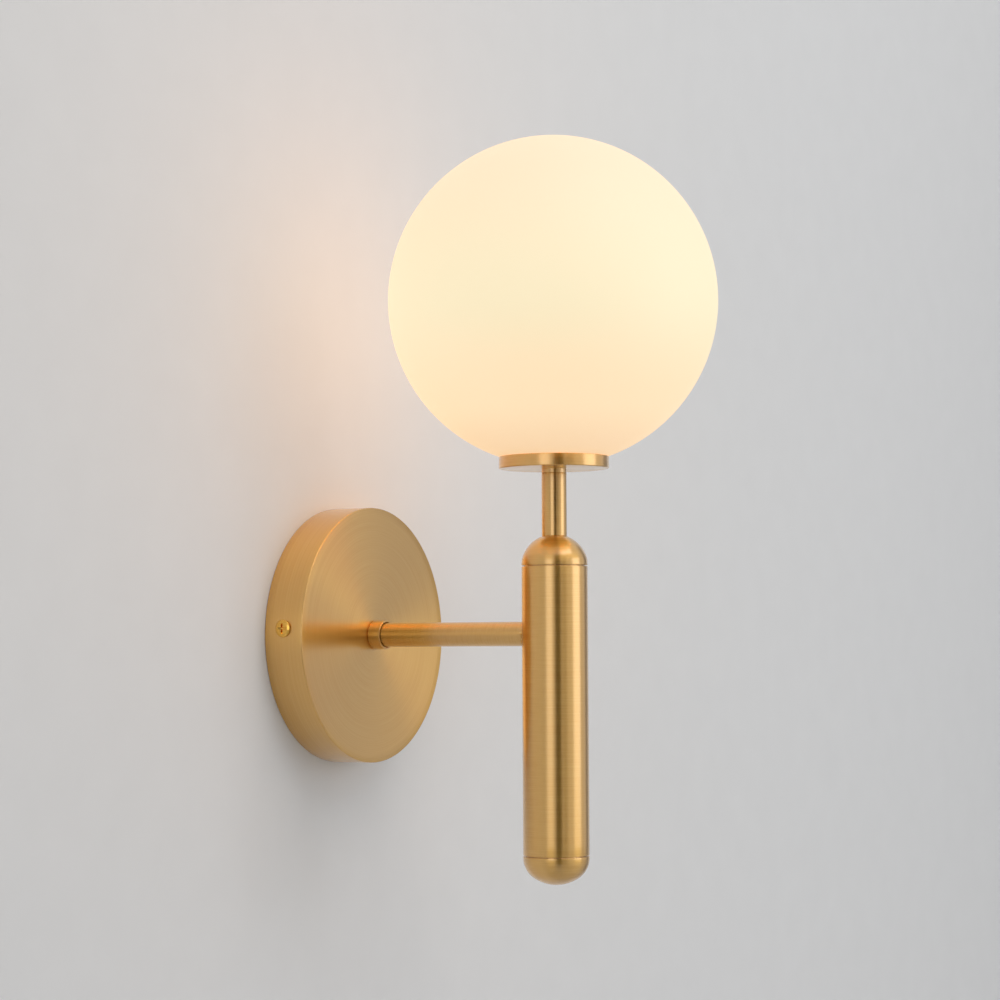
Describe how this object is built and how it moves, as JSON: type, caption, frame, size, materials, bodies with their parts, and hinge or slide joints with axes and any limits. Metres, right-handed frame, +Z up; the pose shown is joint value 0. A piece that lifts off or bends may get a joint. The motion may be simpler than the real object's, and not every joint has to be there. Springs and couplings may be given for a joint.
{
  "type": "globe wall sconce",
  "caption": "Brass wall sconce: round canopy, level arm, upright round-ended body, short stem and disc, with an opal glass globe that screws on over a two-pin lamp.",
  "frame": {"origin": "centre of the wall screws' pattern and of the canopy's back, on the wall", "axes": "+Z up, +Y into the wall, +X to the right of someone who faces the wall"},
  "size_m": [0.15, 0.193, 0.3389],
  "materials": {
    "satin_brass": "brushed brass, clear lacquer",
    "bright_brass": "brass-plated, bright",
    "turned_brass": "turned brass, bare",
    "zinc_steel": "zinc-plated steel",
    "tinned_copper": "tinned copper",
    "opal_glass": "satin opal glass, lit from inside",
    "fitter_aluminium": "turned",
    "silicone": "white silicone",
    "ceramic": "unglazed white steatite",
    "white_polyamide": "moulded",
    "wire_live": "brown insulation",
    "wire_neutral": "blue insulation",
    "wire_earth": "green and yellow insulation",
    "lamp_pins": "drawn wire",
    "lamp_plastic": "moulded",
    "lamp_board": "white solder mask",
    "lamp_cover": "moulded opal"
  },
  "bodies": {
    "fixture": {"canopy": "satin_brass", "arm_collar": "satin_brass", "arm_tube": "satin_brass", "body_tube": "satin_brass", "top_dome": "satin_brass", "bottom_dome": "satin_brass", "stem_tube": "satin_brass", "shade_cup": "satin_brass", "canopy_screws": "bright_brass", "terminal_sleeves": "turned_brass", "holder_contacts": "turned_brass", "shade_carrier": "turned_brass", "arm_boss": "turned_brass", "wall_bracket": "zinc_steel", "holder_bridge": "zinc_steel", "arm_rod": "zinc_steel", "arm_nut": "zinc_steel", "arm_washer": "zinc_steel", "stem_rod": "zinc_steel", "stem_nut_lower": "zinc_steel", "stem_nut_upper": "zinc_steel", "terminal_screws": "zinc_steel", "terminal_fixing_screw": "zinc_steel", "earth_screw": "zinc_steel", "holder_screws": "zinc_steel", "earth_ring": "tinned_copper", "lamp_holder": "ceramic", "terminal_block": "white_polyamide", "live_wire": "wire_live", "neutral_wire": "wire_neutral", "earth_wire": "wire_earth"},
    "gasket": {"mouth_gasket": "silicone"},
    "globe": {"globe": "opal_glass", "globe_fitter": "fitter_aluminium"},
    "lamp": {"bulb_pins": "lamp_pins", "bulb_base": "lamp_plastic", "bulb_board": "lamp_board", "bulb_cover": "lamp_cover"}
  },
  "joints": [
    {"name": "globe_rise", "type": "slide", "parent": "fixture", "child": "gasket", "axis": [0, 0, 1], "range_m": [0, 0.00601]},
    {"name": "globe_turn", "type": "hinge", "parent": "gasket", "child": "globe", "pos_m": [0, -0.118, 0.0774], "axis": [0, 0, 1], "range_deg": [0, 540]},
    {"name": "lamp_pull", "type": "slide", "parent": "fixture", "child": "lamp", "axis": [0, 0, 1], "range_m": [0, 0.012]}
  ],
  "couplings": [
    {"joint": "globe_rise", "follows": "globe_turn", "m_per_rad": 0.00063662}
  ]
}
